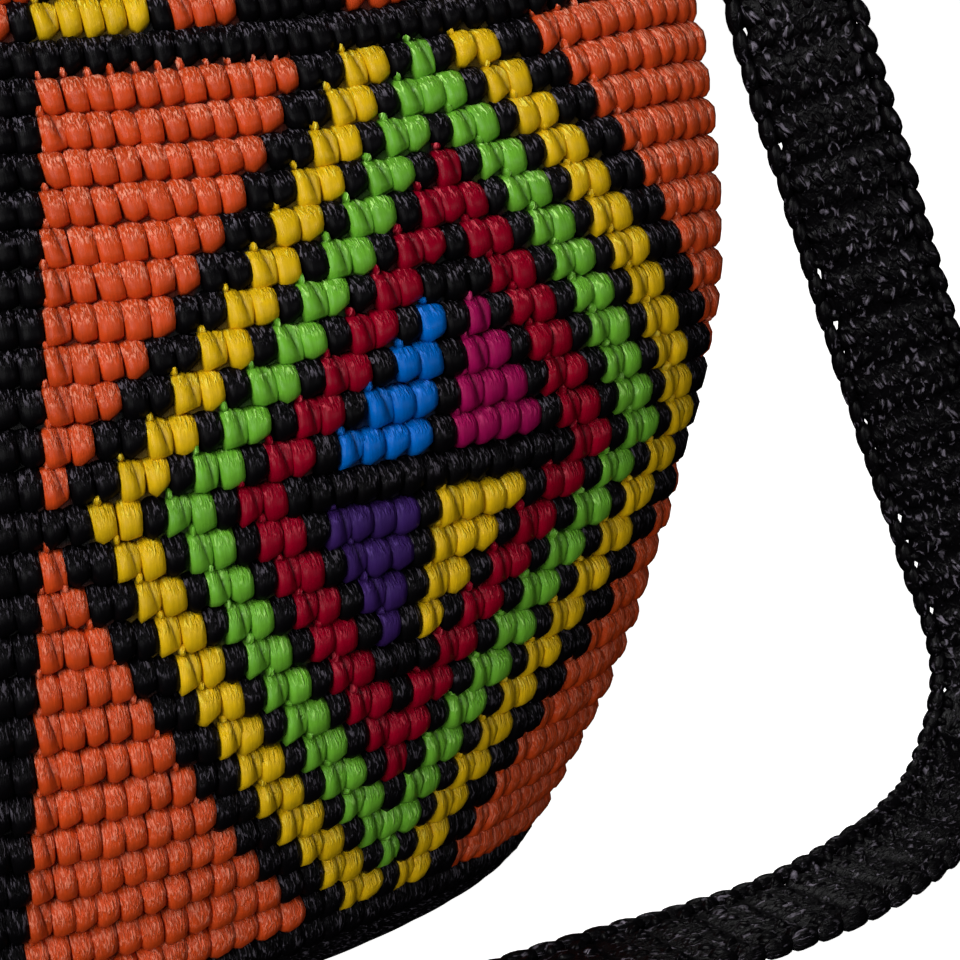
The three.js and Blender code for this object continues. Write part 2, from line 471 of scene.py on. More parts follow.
def pad_faces(across, up):
    """Faces of one pad: the quads of its grid, counted along each row of points from below, and one
    back face round its edge. Gives the corners of all faces in turn, and each face's count."""
    number = np.arange(across * up).reshape(up, across)
    quads = np.stack([number[:-1, :-1], number[:-1, 1:], number[1:, 1:], number[1:, :-1]], axis=-1)
    edge = np.concatenate([number[0, :-1], number[:-1, -1], number[-1, :0:-1], number[:0:-1, 0]])
    return np.concatenate([quads.ravel(), edge[::-1]]), [4] * (quads.size // 4) + [len(edge)]


def tube_faces(around, along):
    """Faces of one closed tube: quads between rings of points, and a face over each end."""
    number = np.arange(around * along).reshape(along, around)
    following = np.roll(number, -1, axis=1)
    quads = np.stack([number[:-1], following[:-1], following[1:], number[1:]], axis=-1)
    ends = [number[0, ::-1], number[-1]]
    return np.concatenate([quads.ravel(), *ends]), [4] * (quads.size // 4) + [around] * 2


def ring_faces(around, along):
    """Faces of a closed hollow ring: quads between rings of points that come back to the first."""
    number = np.arange(around * along).reshape(along, around)
    following = np.roll(number, -1, axis=1)
    above = np.roll(number, -1, axis=0)
    above_following = np.roll(following, -1, axis=0)
    quads = np.stack([number, following, above_following, above], axis=-1)
    return quads.ravel(), [4] * (quads.size // 4)


def add_object(name, data):
    """Puts an object with its data in the scene."""
    added = bpy.data.objects.new(name, data)
    bpy.context.scene.collection.objects.link(added)
    return added


def add_attribute(mesh, name, kind, values):
    """Gives each point of a mesh a number, vector or colour of its own."""
    attribute = mesh.attributes.new(name, kind, "POINT")
    attribute.data.foreach_set(ATTRIBUTE_KEYS[kind], values.astype(np.float32).ravel())


def make_piece(name, batches, material, slot, *nodes):
    """One mesh piece from batches of like shapes. A batch has the points of each shape in mm, their
    places on the strand in mm, a tone for each shape, and the faces of one shape."""
    points, strands, tones, corners, counts = [], [], [], [], []
    start = 0
    for shape_points, shape_strands, shape_tones, (shape_corners, shape_counts) in batches:
        shapes, size = shape_points.shape[:2]
        points.append(shape_points.reshape(-1, 3))
        strands.append(shape_strands.reshape(-1, 3))
        tones.append(np.repeat(shape_tones, size))
        first = start + size * np.arange(shapes)
        corners.append((shape_corners[None, :] + first[:, None]).ravel())
        counts.append(np.tile(shape_counts, shapes))
        start += shapes * size
    counts = np.concatenate(counts)
    corners = np.concatenate(corners)
    mesh = bpy.data.meshes.new(name)
    mesh.vertices.add(start)
    mesh.vertices.foreach_set("co", (np.concatenate(points) * MM).astype(np.float32).ravel())
    mesh.loops.add(len(corners))
    mesh.loops.foreach_set("vertex_index", corners.astype(np.int32))
    mesh.polygons.add(len(counts))
    mesh.polygons.foreach_set("loop_start", (np.cumsum(counts) - counts).astype(np.int32))
    mesh.polygons.foreach_set("use_smooth", counts <= 4)
    mesh.update(calc_edges=True)
    add_attribute(mesh, "strand", "FLOAT_VECTOR", np.concatenate(strands))
    add_attribute(mesh, "tone", "FLOAT", np.concatenate(tones))
    mesh.materials.append(material)
    piece = add_object(name, mesh)
    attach(piece, BODY)
    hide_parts(*nodes)
    return piece


# Shapes


def disc_grid(across, up):
    """A square grid drawn out to a disc, and the height of a dome over it."""
    sideways, upwards = np.meshgrid(np.linspace(-1, 1, across), np.linspace(-1, 1, up))
    x = sideways * np.sqrt(1 - upwards ** 2 / 2)
    y = upwards * np.sqrt(1 - sideways ** 2 / 2)
    return x, y, np.sqrt(np.clip(1 - x ** 2 - y ** 2, 0, 1))


def unevenness(random, count):
    """A function that draws a number for each of a count of shapes: from low to high, or, given one
    number, as far as that to either side of nought."""
    def draw(low, high=None):
        ends = (-low, low) if high is None else (low, high)
        return random.uniform(*ends, count)[:, None, None]

    return draw


def shape_batch(points, over, along, apart, faces, random):
    """A batch for make_piece from grids of points: their places over and along the strand in mm, a
    third place that sets each shape's pattern apart from the next one's, and a random tone."""
    shapes = len(points)
    number = apart * np.arange(shapes)[:, None, None]
    strands = np.stack(np.broadcast_arrays(over, along, number), axis=-1)
    tones = random.uniform(0, 1, shapes)
    return points.reshape(shapes, -1, 3), strands.reshape(shapes, -1, 3), tones, faces


def one_surface(points, strands, faces):
    """A batch that holds a single surface of one tone."""
    return points.reshape(1, -1, 3), strands.reshape(1, -1, 3), np.array([0.5]), faces


def on_stitches(face, row, column, sideways, upward, lift):
    """Points at shares of the width and height of stitches of the wall, and a lift in mm. The whole
    of a stitch drifts with the middle of its row."""
    lower_edge = (CHART_BOTTOM_ROW - row)[:, None, None]
    stitch = stitch_place(column[:, None, None] + sideways, lower_edge + 0.5)
    return face.lifted(stitch, lower_edge + upward, lift)


class StitchForm(NamedTuple):
    """Where the tip at a stitch's foot lies, how far it drops and how the stitch leans."""

    tip: float
    drop: float
    lean: float


PLAIN_FORM = StitchForm(0.2, 0.11, -0.34)
PARTED_FORM = StitchForm(0.12, 0.14, -0.28)


def stitch_grid(parted):
    """Shares of the width and height at the points of a stitch, and how deep each point lies in the
    parting between its two strands: a straight line, with a column of points in it and on each
    side, and a depth that falls off as a bell curve."""
    across, up = np.meshgrid(STITCH_ACROSS, STITCH_UP)
    if not parted:
        return across, up, np.zeros_like(across)
    line = PARTING_FOOT + (PARTING_TOP - PARTING_FOOT) * STITCH_UP
    left, right = line - PARTING_HALF, line + PARTING_HALF
    first = np.full_like(line, STITCH_ACROSS[1])
    last = 0.2 * right + 0.8
    columns = [0 * line, first, (first + left) / 2, left, line, right, last, 0 * line + 1]
    across = np.stack(columns, axis=-1)
    up = np.broadcast_to(STITCH_UP[:, None], across.shape)
    bell = np.exp(-((across - line[:, None]) / PARTING_HALF) ** 2)
    return across, up, bell * np.minimum(up / PARTING_START, 1)


def wall_stitches(face, sizes, row, column, parted, ends_field, random):
    """Stitches of the wall as pads. Seen from outside, each leans and narrows downwards, with a flat
    top, and a bottom edge that falls to a tip at its left and rises to the right, most of all at the
    lower end of a field of colour. It stands up from that edge, has a round face, and slopes back to
    its top. A shallow groove runs down from the top, and a deep one where its strands part."""
    across, up, parting = stitch_grid(parted)
    form = PARTED_FORM if parted else PLAIN_FORM
    uneven = unevenness(random, len(row))
    tip = form.tip + uneven(0.08)
    drop = form.drop + uneven(0.05)
    rise = np.where(ends_field[:, None, None], FIELD_FOOT_RISE, FOOT_RISE) + uneven(0.08)
    bottom = rise * np.clip((across - tip) / (1 - tip), 0, 1) ** 1.1 - drop
    bottom = bottom + TIP_LIFT * np.clip(tip - across, 0, 1)
    from_middle = np.abs(2 * across - 1)
    top = STITCH_TOP + uneven(0.04) - (SHOULDER_DROP + uneven(0.06)) * from_middle ** 3
    upward = bottom + (top - bottom) * up
    lean = form.lean + uneven(0.12)
    narrow = TOP_NARROWING * up ** 4 + FOOT_NARROWING * (1 - up) ** 1.5
    wide = STITCH_WIDE + uneven(0.06)
    sideways = (across - 0.5) * wide * (1 - narrow) + lean * (upward - 0.5) + uneven(0.04)
    round_over = (1 - from_middle ** 6) ** 0.4
    stand_up = np.sqrt(1 - (1 - np.clip(up / STANDS_UP_WITHIN, 0, 1)) ** 2)
    slope = np.clip((up - SLOPES_BACK_FROM) / (1 - SLOPES_BACK_FROM), 0, 1)
    slope_back = 1 - 0.05 * up - SLOPES_BACK_BY * slope ** 2.2
    groove_line = GROOVE_PLACE + GROOVE_LEAN * up
    groove = (GROOVE_DEPTH + uneven(0.1)) * up * np.exp(-((across - groove_line) / GROOVE_HALF) ** 2)
    groove = groove + (PARTING_DEPTH + uneven(0.15)) * parting
    height = round_over * stand_up * slope_back * (1 - groove) * (1 + uneven(0.1))
    lift = (sizes.stitch_height * height - sizes.stitch_seat) / MM
    points = on_stitches(face, row, column, sideways, upward, lift)
    along = upward * ROW_HEIGHT
    over = sideways * STITCH_WIDTH + 0.2 * along
    return shape_batch(points, over, along, STITCH_APART, pad_faces(*across.shape[::-1]), random)


def wall_hooks(face, sizes, row, column, random):
    """Small hooks of straw over the upper left corner of stitches: domes on ovals that lie just
    under the row above."""
    x, y, dome = disc_grid(*HOOK_POINTS)
    uneven = unevenness(random, len(row))
    left, top = HOOK_PLACE
    half_wide, half_high = HOOK_HALF
    sideways = left + uneven(0.1) + x * (half_wide + uneven(0.04)) - HOOK_SLANT * y
    upward = top + uneven(0.05) + y * (half_high + uneven(0.06))
    lift = HOOK_HEIGHT * dome * (1 + uneven(0.2)) + HOOK_LIFT - sizes.stitch_seat / MM
    points = on_stitches(face, row, column, sideways, upward, lift)
    over = sideways * STITCH_WIDTH
    along = upward * ROW_HEIGHT
    return shape_batch(points, over, along, HOOK_APART, pad_faces(*HOOK_POINTS), random)


def strap_pads(band, along, across, shape, slant, side, random):
    """Strands on a face of the strap as flat domes on ovals, slanting and tilted on the face. shape
    holds their half length, half width, lift and height in mm. side is 1 on the face towards the
    bag's wall and -1 on the other."""
    half_long, half_wide, lift, height = (np.reshape(size, (-1, 1, 1)) for size in shape)
    x, y, dome = disc_grid(*STRAND_POINTS)
    uneven = unevenness(random, len(along))
    turn = slant + uneven(0.2)
    grow = 1 + uneven(-0.14, 0.1)
    over = x * half_wide * grow
    way = y * half_long * grow
    sideways = across[:, None, None] + over * np.cos(turn) - way * np.sin(turn)
    onwards = along[:, None, None] + over * np.sin(turn) + way * np.cos(turn)
    tilt = 1 + uneven(0.25) * x + uneven(0.25) * y
    off = lift + height * (1 + uneven(-0.25, 0)) * dome ** 0.35 * np.minimum(tilt, 1.05)
    points = band.point(onwards, side * sideways, side * off)
    along = STRAND_MIDDLE + 0.5 * way
    return shape_batch(points, over, along, STRAND_APART, pad_faces(*STRAND_POINTS), random)


def strap_lobes(band, along, across, half_long, radius, thick, skew, random):
    """Loops along an edge of the strap: squarish tubes along it, whose width follows a root of the
    sine of the way along the loop and whose thickness keeps almost to its ends."""
    around, steps = LOBE_POINTS
    uneven = unevenness(random, len(along))
    share = np.linspace(*LOBE_ENDS, steps)[None, :, None]
    angle = (2 * np.pi * (np.arange(around) + 0.5) / around)[None, None, :]
    swell = np.sin(np.pi * share)
    girth = radius * swell ** 0.5 * (1 + uneven(0.12))
    way = (2 * share - 1) * half_long
    sideways = across + skew * (2 * share - 1) + girth * signed_power(np.cos(angle), 0.7)
    off = thick * swell ** 0.25 * signed_power(np.sin(angle), 0.7)
    points = band.point(along[:, None, None] + way, sideways, off)
    faces = tube_faces(around, steps)
    return shape_batch(points, angle * radius, LOOP_MIDDLE + way, LOOP_APART, faces, random)


# Materials

# Sizes of the straw's pattern in mm. The real fibres are finer, and are drawn as coarse as they need
# to show
FIBRE_SIZE = (0.45, 4.0)
FIBRE_DEPTH = 0.25
MOTTLE_SIZE = 2.2
CREASE_DEPTH = 0.5
CREASE_RISE = 2.4  # up a stitch from where the ribbon starts to crease to where it is full
CREASE_SHIFT = (3, 5, 9)  # takes the creases off the fibres
# Shares of the straw's colour: its darkest and lightest tints, the painted shade in a parting, and the
# colour under a painted highlight
DARKEST = 0.8
LIGHTEST = 1.16
PARTING_SHADE = 0.35
GLINT_GROUND = 1.2
GLINT_WHITE = 0.2  # share of white in the light that a glint adds; the rest is of the straw's own hue
TONE_SHARE = 0.45  # of a shape's own tone in its tint, beside its fibres and mottle
TINT_RANGE = (0.75, 1.75)  # sums of these that give the darkest and the lightest tint
NOISE_RANGE = (0.3, 0.7)  # values between which most of a noise lies
STRAW_IOR = 1.49
# Heights on the wall in mm between which the painted highlights on the creases grow: below the first,
# where the light from above falls off, they are weakest, and above the second they are full
HIGHLIGHT_FADES_BELOW = 95.0
HIGHLIGHT_FULL_ABOVE = 155.0


def add_node(tree, kind, inputs=None, **settings):
    """Adds a node. settings are its properties; inputs gives sockets a value or a socket to link."""
    node = tree.nodes.new(kind)
    for key, value in settings.items():
        setattr(node, key, value)
    for key, value in (inputs or {}).items():
        if isinstance(value, bpy.types.NodeSocket):
            tree.links.new(value, node.inputs[key])
        else:
            node.inputs[key].default_value = value
    return node


def new_material(name):
    material = bpy.data.materials.new(name)
    material.use_nodes = True
    material.node_tree.nodes.clear()
    return material, material.node_tree


def shaded(colour, share):
    return (*(min(1.0, part * share) for part in colour), 1.0)


def lightened(colour, light):
    """The colour with light added for a painted highlight, a share of it white and the rest of the
    colour's own hue.
    """
    hue = np.array(colour) / max(colour)
    lit = GLINT_GROUND * np.array(colour) + light * (GLINT_WHITE + (1 - GLINT_WHITE) * hue)
    return (*np.minimum(lit, 1), 1.0)


def streaks(tree, strand, size, shift, **inputs):
    """Noise drawn out along the strand, in streaks of a width and length in mm."""
    wide, long = size
    place = add_node(tree, "ShaderNodeMapping", {
        "Vector": strand, "Scale": (1 / wide, 1 / long, 1), "Location": shift})
    noise = add_node(tree, "ShaderNodeTexNoise", {"Vector": place.outputs[0], "Scale": 1, **inputs})
    return noise.outputs["Fac"]


def fibres(tree, strand):
    """The fine fibres that run along the ribbon."""
    return streaks(tree, strand, FIBRE_SIZE, (0, 0, 0), Detail=3, Roughness=0.6)


class Finish(NamedTuple):
    """Surface of a straw. Creases start some mm up each stitch; glint is the light that their painted
    highlight adds to the colour, crease_size their width and length in mm, sparse how few of them
    glint, soft how gradually, and low_glint how much of the painted highlight is left low on the wall,
    where the light from above falls off."""

    roughness: float
    specular: float
    crease: float
    crease_from: float
    glint: float
    crease_size: tuple = (0.5, 2.0)
    sparse: float = 0.56
    soft: float = 0.08
    low_glint: float = 0.5


# Roughness, specular, crease, crease_from and glint, and then what differs from the rest
STRAW_FINISH = {
    "black": Finish(0.4, 0.06, 1.6, 2.8, 0.16, crease_size=(0.42, 1.6), sparse=0.55),
    "orange": Finish(0.38, 0.22, 1.0, 1.9, 0.95, crease_size=(0.36, 1.3), sparse=0.49, soft=0.15),
    "yellow": Finish(0.36, 0.2, 1.4, 3.2, 0.4),
    "green": Finish(0.32, 0.24, 1.2, 3.0, 0.8),
    "red": Finish(0.32, 0.1, 1.5, 3.4, 0.38),
    "blue": Finish(0.32, 0.1, 1.5, 3.6, 0.3),
    "magenta": Finish(0.42, 0.08, 1.5, 3.4, 0.21),
    "purple": Finish(0.45, 0.08, 1.4, 3.4, 0.18),
}
STRAP_FINISH = Finish(
    0.34, 0.12, 1.2, 2.0, 0.32, crease_size=(1.4, 2.2), sparse=0.6, soft=0.2, low_glint=1.0)


def straw_material(name, colour, finish):
    """Raffia straw of extruded polypropylene ribbon, twisted and crocheted tight: a satin face with
    fine lengthwise fibres, uneven colour from stitch to stitch, and creases where the ribbon is drawn
    together at the top of a stitch. Painted highlights lie on the creases, fainter low on the wall,
    and painted shade in the partings between strands."""
    material, tree = new_material(name)
    strand = add_node(tree, "ShaderNodeAttribute", attribute_name="strand").outputs["Vector"]
    tone = add_node(tree, "ShaderNodeAttribute", attribute_name="tone").outputs["Fac"]
    parting = add_node(tree, "ShaderNodeAttribute", attribute_name="parting").outputs["Fac"]
    along = add_node(tree, "ShaderNodeSeparateXYZ", {"Vector": strand}).outputs["Y"]
    fibre = fibres(tree, strand)
    creases = streaks(tree, strand, finish.crease_size, CREASE_SHIFT, Detail=2, Distortion=0.6)
    mottle = add_node(tree, "ShaderNodeTexNoise", {
        "Vector": strand, "Scale": 1 / MOTTLE_SIZE, "Detail": 2, "Roughness": 0.5}).outputs["Fac"]
    near_top = add_node(tree, "ShaderNodeMapRange", {
        "Value": along, "From Min": finish.crease_from, "From Max": finish.crease_from + CREASE_RISE},
        interpolation_type="SMOOTHSTEP")
    grain = add_node(tree, "ShaderNodeMath", {0: fibre, 1: mottle}, operation="ADD")
    uneven = add_node(tree, "ShaderNodeMath", {0: tone, 1: TONE_SHARE, 2: grain.outputs[0]},
                      operation="MULTIPLY_ADD")
    depth = add_node(tree, "ShaderNodeMapRange", {
        "Value": uneven.outputs[0], "From Min": TINT_RANGE[0], "From Max": TINT_RANGE[1]})
    tint = add_node(tree, "ShaderNodeMix", {
        "Factor": depth.outputs[0], "A": shaded(colour, DARKEST), "B": shaded(colour, LIGHTEST)},
        data_type="RGBA")
    ridge = add_node(tree, "ShaderNodeMapRange", {
        "Value": creases, "From Min": finish.sparse, "From Max": finish.sparse + finish.soft})
    # Painted highlight: fainter low on the wall, where the light from above falls off
    place = add_node(tree, "ShaderNodeTexCoord").outputs["Object"]
    height = add_node(tree, "ShaderNodeSeparateXYZ", {"Vector": place}).outputs["Z"]
    lit_from_above = add_node(tree, "ShaderNodeMapRange", {
        "Value": height, "From Min": HIGHLIGHT_FADES_BELOW * MM, "From Max": HIGHLIGHT_FULL_ABOVE * MM,
        "To Min": finish.low_glint})
    shown = add_node(tree, "ShaderNodeMath", {0: near_top.outputs[0], 1: lit_from_above.outputs[0]},
                     operation="MULTIPLY")
    # Painted highlight: a lighter colour mixed in on the creases near the top of each stitch
    shine = add_node(tree, "ShaderNodeMath", {0: ridge.outputs[0], 1: shown.outputs[0]},
                     operation="MULTIPLY")
    glinting = add_node(tree, "ShaderNodeMix", {
        "Factor": shine.outputs[0], "A": tint.outputs["Result"],
        "B": lightened(colour, finish.glint)}, data_type="RGBA")
    # Painted shade in the parting between a stitch's two strands, over its real groove
    shadowed = add_node(tree, "ShaderNodeMix", {
        "Factor": parting, "A": glinting.outputs["Result"], "B": shaded(colour, PARTING_SHADE)},
        data_type="RGBA")
    gloss = add_node(tree, "ShaderNodeMapRange", {
        "Value": mottle, "From Min": NOISE_RANGE[0], "From Max": NOISE_RANGE[1],
        "To Min": finish.roughness + 0.1, "To Max": finish.roughness - 0.08})
    fibre_bump = add_node(tree, "ShaderNodeBump", {
        "Height": fibre, "Strength": 0.35, "Distance": FIBRE_DEPTH * MM})
    crease_strength = add_node(tree, "ShaderNodeMath", {0: near_top.outputs[0], 1: finish.crease},
                               operation="MULTIPLY")
    bump = add_node(tree, "ShaderNodeBump", {
        "Height": creases, "Strength": crease_strength.outputs[0],
        "Distance": CREASE_DEPTH * MM, "Normal": fibre_bump.outputs[0]})
    shader = add_node(tree, "ShaderNodeBsdfPrincipled", {
        "Base Color": shadowed.outputs["Result"], "Roughness": gloss.outputs[0], "IOR": STRAW_IOR,
        "Specular IOR Level": finish.specular, "Normal": bump.outputs[0]})
    add_node(tree, "ShaderNodeOutputMaterial", {"Surface": shader.outputs[0]})
    return material


def back_material(name):
    """The back of the crochet work in the same raffia straw: dull, in the colour of each stitch from
    the attribute straw, with painted shade between the stitches, where little light reaches."""
    material, tree = new_material(name)
    colour = add_node(tree, "ShaderNodeAttribute", attribute_name="straw").outputs["Color"]
    strand = add_node(tree, "ShaderNodeAttribute", attribute_name="strand").outputs["Vector"]
    fibre = fibres(tree, strand)
    shade = add_node(tree, "ShaderNodeMapRange", {
        "Value": fibre, "From Min": NOISE_RANGE[0], "From Max": NOISE_RANGE[1],
        "To Min": 0.6, "To Max": 1.1})
    tint = add_node(tree, "ShaderNodeVectorMath", {0: colour, 3: shade.outputs[0]}, operation="SCALE")
    bump = add_node(tree, "ShaderNodeBump", {"Height": fibre, "Strength": 0.5, "Distance": 0.4 * MM})
    shader = add_node(tree, "ShaderNodeBsdfPrincipled", {
        "Base Color": tint.outputs[0], "Roughness": 0.6, "IOR": STRAW_IOR,
        "Specular IOR Level": 0.2, "Normal": bump.outputs[0]})
    add_node(tree, "ShaderNodeOutputMaterial", {"Surface": shader.outputs[0]})
    return material


def floor_material():
    """Matt white painted board, faintly uneven, lit through from behind to a clean white."""
    material, tree = new_material("Painted board, white")
    place = add_node(tree, "ShaderNodeTexCoord").outputs["Object"]
    cloud = add_node(tree, "ShaderNodeTexNoise", {"Vector": place, "Scale": 2, "Detail": 2})
    tint = add_node(tree, "ShaderNodeMix", {
        "Factor": cloud.outputs["Fac"], "A": (*linear("F3F2F0"), 1), "B": (*linear("F8F7F6"), 1)},
        data_type="RGBA")
    shader = add_node(tree, "ShaderNodeBsdfPrincipled", {
        "Base Color": tint.outputs["Result"], "Roughness": 0.9, "Specular IOR Level": 0.1,
        "Emission Color": (1, 1, 1, 1), "Emission Strength": 1})
    add_node(tree, "ShaderNodeOutputMaterial", {"Surface": shader.outputs[0]})
    return material


def straw(context, name):
    """The material of one straw, made once."""
    label = f"Raffia straw, {name}"
    found = bpy.data.materials.get(label)
    if found:
        return found
    return straw_material(label, getattr(context.scene.strawbag_straws, name), STRAW_FINISH[name])


# Operators


class STRAWBAG_OT_stage(bpy.types.Operator):
    """Lays the pale floor, hangs the studio lights and sets up the camera"""

    bl_idname = "strawbag.stage"
    bl_label = "Stage"

    # The camera's place in mm, and the directions of its view
    CAMERA_PLACE = (134.2, -507.8, 201.5)
    CAMERA_RIGHT = (0.9991, -0.0095, -0.0407)
    CAMERA_UP = (0.0418, 0.2258, 0.9733)
    CAMERA_FORWARD = (0.0, 0.9741, -0.2260)
    SENSOR_WIDTH = 36
    NEAREST_SEEN = 0.01
    FLOOR_HALF = 12.0
    FLOOR_DROP = -0.05 * MM
    # Place and size of each lamp, and the point that all of them face, in metres
    LIGHTS = {
        "key": ((-0.45, -0.95, 1.3), 0.7),
        "front": ((-0.4, -1.8, 0.45), 1.4),
        "right": ((1.5, -1.2, 0.25), 1.0),
        "back": ((0.2, 1.2, 1.6), 1.0),
    }
    LIGHT_AIM = (0.05, -0.05, 0.12)

    def execute(self, context):
        settings = context.scene.strawbag_stage
        self.add_floor()
        for name, (place, size) in self.LIGHTS.items():
            self.add_light(name, place, size, getattr(settings, f"{name}_power"))
        self.add_room(context)
        self.add_camera(context, settings.lens)
        context.scene.view_settings.view_transform = "Standard"
        return {"FINISHED"}

    def add_floor(self):
        reach = np.linspace(-self.FLOOR_HALF, self.FLOOR_HALF, 3)
        x, y = np.meshgrid(reach, reach)
        points = np.stack([x, y, np.full_like(x, self.FLOOR_DROP)], axis=-1).reshape(-1, 3)
        corners, counts = pad_faces(3, 3)
        mesh = bpy.data.meshes.new("floor")
        mesh.from_pydata(points, [], corners[:sum(counts[:-1])].reshape(-1, 4))
        mesh.materials.append(floor_material())
        floor = add_object("floor", mesh)
        floor.visible_diffuse = False
        floor.visible_glossy = False

    def add_light(self, name, place, size, power):
        lamp = bpy.data.lights.new(name, "AREA")
        lamp.shape = "DISK"
        lamp.size = size
        lamp.energy = power
        back = unit(np.array(place) - self.LIGHT_AIM)
        side = unit(np.cross((0, 0, 1), back))
        turned = Matrix(np.stack([side, np.cross(back, side), back], axis=-1).tolist())
        add_object(name, lamp).matrix_world = Matrix.Translation(place) @ turned.to_4x4()

    def add_room(self, context):
        """A white surround that is seen, but lights nothing."""
        world = bpy.data.worlds.new("studio")
        context.scene.world = world
        world.use_nodes = True
        world.node_tree.nodes["Background"].inputs["Color"].default_value = (1, 1, 1, 1)
        world.cycles_visibility.diffuse = False
        world.cycles_visibility.glossy = False

    def add_camera(self, context, lens):
        optics = bpy.data.cameras.new("camera")
        optics.lens = lens
        optics.sensor_width = self.SENSOR_WIDTH
        optics.clip_start = self.NEAREST_SEEN
        camera = add_object("camera", optics)
        axes = np.stack([self.CAMERA_RIGHT, self.CAMERA_UP, -np.array(self.CAMERA_FORWARD)], axis=-1)
        place = Matrix.Translation(np.array(self.CAMERA_PLACE) * MM)
        camera.matrix_world = place @ Matrix(axes.tolist()).to_4x4()
        context.scene.camera = camera


class STRAWBAG_OT_wall_stitches(bpy.types.Operator):
    """Crochets the wall's stitches, one piece for each straw"""

    bl_idname = "strawbag.wall_stitches"
    bl_label = "Wall stitches"

    ALL_ROWS = (-99, 99)  # chart rows well above and below the work
    BLACK_PARTS = (ALL_ROWS[0], 1, 14, ALL_ROWS[1])  # the black stitches are split at these rows

    def execute(self, context):
        face = WallFace()
        sizes = context.scene.strawbag_sizes
        random = np.random.default_rng(sizes.seed)
        rows = np.arange(CHART_BOTTOM_ROW - ROWS + 1, CHART_BOTTOM_ROW + 1)
        columns = np.arange(STITCHES_ROUND)
        row, column = (grid.ravel() for grid in np.meshgrid(rows, columns, indexing="ij"))
        kind = straw_at(row, column)
        starts_run = kind != straw_at(row, column - 1)
        ends_field = kind != straw_at(row + 1, column)
        under_black = (straw_at(row - 1, column) == BLACK) & (kind == ORANGE)
        hooked = (starts_run | under_black) & (kind != BLACK)
        parted = starts_run & (kind != BLACK) & (random.uniform(0, 1, len(kind)) < PARTED_SHARE)
        for number, name in enumerate(STRAWS):
            parts = self.BLACK_PARTS if number == BLACK else self.ALL_ROWS
            for part, (first, end) in enumerate(zip(parts, parts[1:])):
                chosen = (kind == number) & (row >= first) & (row < end)
                label = f"stitches_{name}" + (f"_{part + 1}" if len(parts) > 2 else "")
                batches = []
                for group, splits in ((chosen & parted, True), (chosen & ~parted, False)):
                    if group.any():
                        batches.append(wall_stitches(face, sizes, row[group], column[group], splits,
                                                     ends_field[group], random))
                hooks = chosen & hooked
                if hooks.any():
                    batches.append(wall_hooks(face, sizes, row[hooks], column[hooks], random))
                piece = make_piece(label, batches, straw(context, name), "wall_straw", "body_wall")
                self.shade(piece, np.sum(chosen & parted))
        return {"FINISHED"}

    def shade(self, piece, parted):
        """Gives each point its depth in a parting, which the straw shows as painted shade. The parted
        stitches come first in the piece."""
        depth = np.tile(stitch_grid(True)[2].ravel(), parted)
        values = np.zeros(len(piece.data.vertices))
        values[:len(depth)] = depth
        add_attribute(piece.data, "parting", "FLOAT", values)


class STRAWBAG_OT_wall_back(bpy.types.Operator):
    """Makes the back of the crochet work, which shows between the stitches and inside the bag"""

    bl_idname = "strawbag.wall_back"
    bl_label = "Back of the wall"

    COLUMNS = 2 * STITCHES_ROUND
    LEVELS = 2 * ROWS + 2
    TOP_ROW = ROWS + 0.9
    BOTTOM_ROW = 0.02
    OVERLAP = 0.1  # mm by which the stitches are sunk into the back
    RELIEF = 0.75  # mm from the ridges inside the bag to the grooves between them
    DIP = 0.4  # share by which a ridge dips between two stitches
    INSIDE_SHADE = 0.8  # of the straw's colour
    # painted shade: the back between the stitches is darkened to this share of the straw's colour
    BETWEEN_SHADE = 0.18

    def execute(self, context):
        face = WallFace()
        sizes = context.scene.strawbag_sizes
        seat = sizes.stitch_seat / MM - self.OVERLAP
        up = np.linspace(self.BOTTOM_ROW, self.TOP_ROW, self.LEVELS)
        levels = np.concatenate([up, up[::-1]])[:, None]
        stitch = np.linspace(0, STITCHES_ROUND, self.COLUMNS, endpoint=False)[None, :]
        stitch, levels = np.broadcast_arrays(stitch, levels)
        inside = np.arange(len(levels))[:, None] >= self.LEVELS
        column = column_place(stitch, levels)
        ridge = ridges(levels, 0.7) * (1 - self.DIP + self.DIP * np.abs(np.cos(np.pi * column)))
        lift = np.where(inside, -CROCHET + self.RELIEF * (1 - ridge), -seat)
        points = face.lifted(stitch, levels, lift)
        strands = np.stack([stitch * STITCH_WIDTH, levels * ROW_HEIGHT, 0 * levels], axis=-1)
        batch = one_surface(points, strands, ring_faces(*points.shape[1::-1]))
        piece = make_piece("wall_back", [batch], back_material("Raffia straw, back of the work"),
                           "wall_straw", "body_wall")
        self.colour(context, piece, column, levels, inside)
        return {"FINISHED"}

    def colour(self, context, piece, column, levels, inside):
        """Gives each point the colour of its stitch, darkened by painted shade between the stitches.
        """
        straws = context.scene.strawbag_straws
        colours = np.array([tuple(getattr(straws, name)) for name in STRAWS])
        kind = straw_at(np.rint(chart_row_at(levels)).astype(int), np.rint(column).astype(int))
        shade = np.where(inside, self.INSIDE_SHADE, self.BETWEEN_SHADE)[..., None]
        values = np.concatenate([colours[kind] * shade, np.ones((*kind.shape, 1))], axis=-1)
        add_attribute(piece.data, "straw", "FLOAT_COLOR", values)


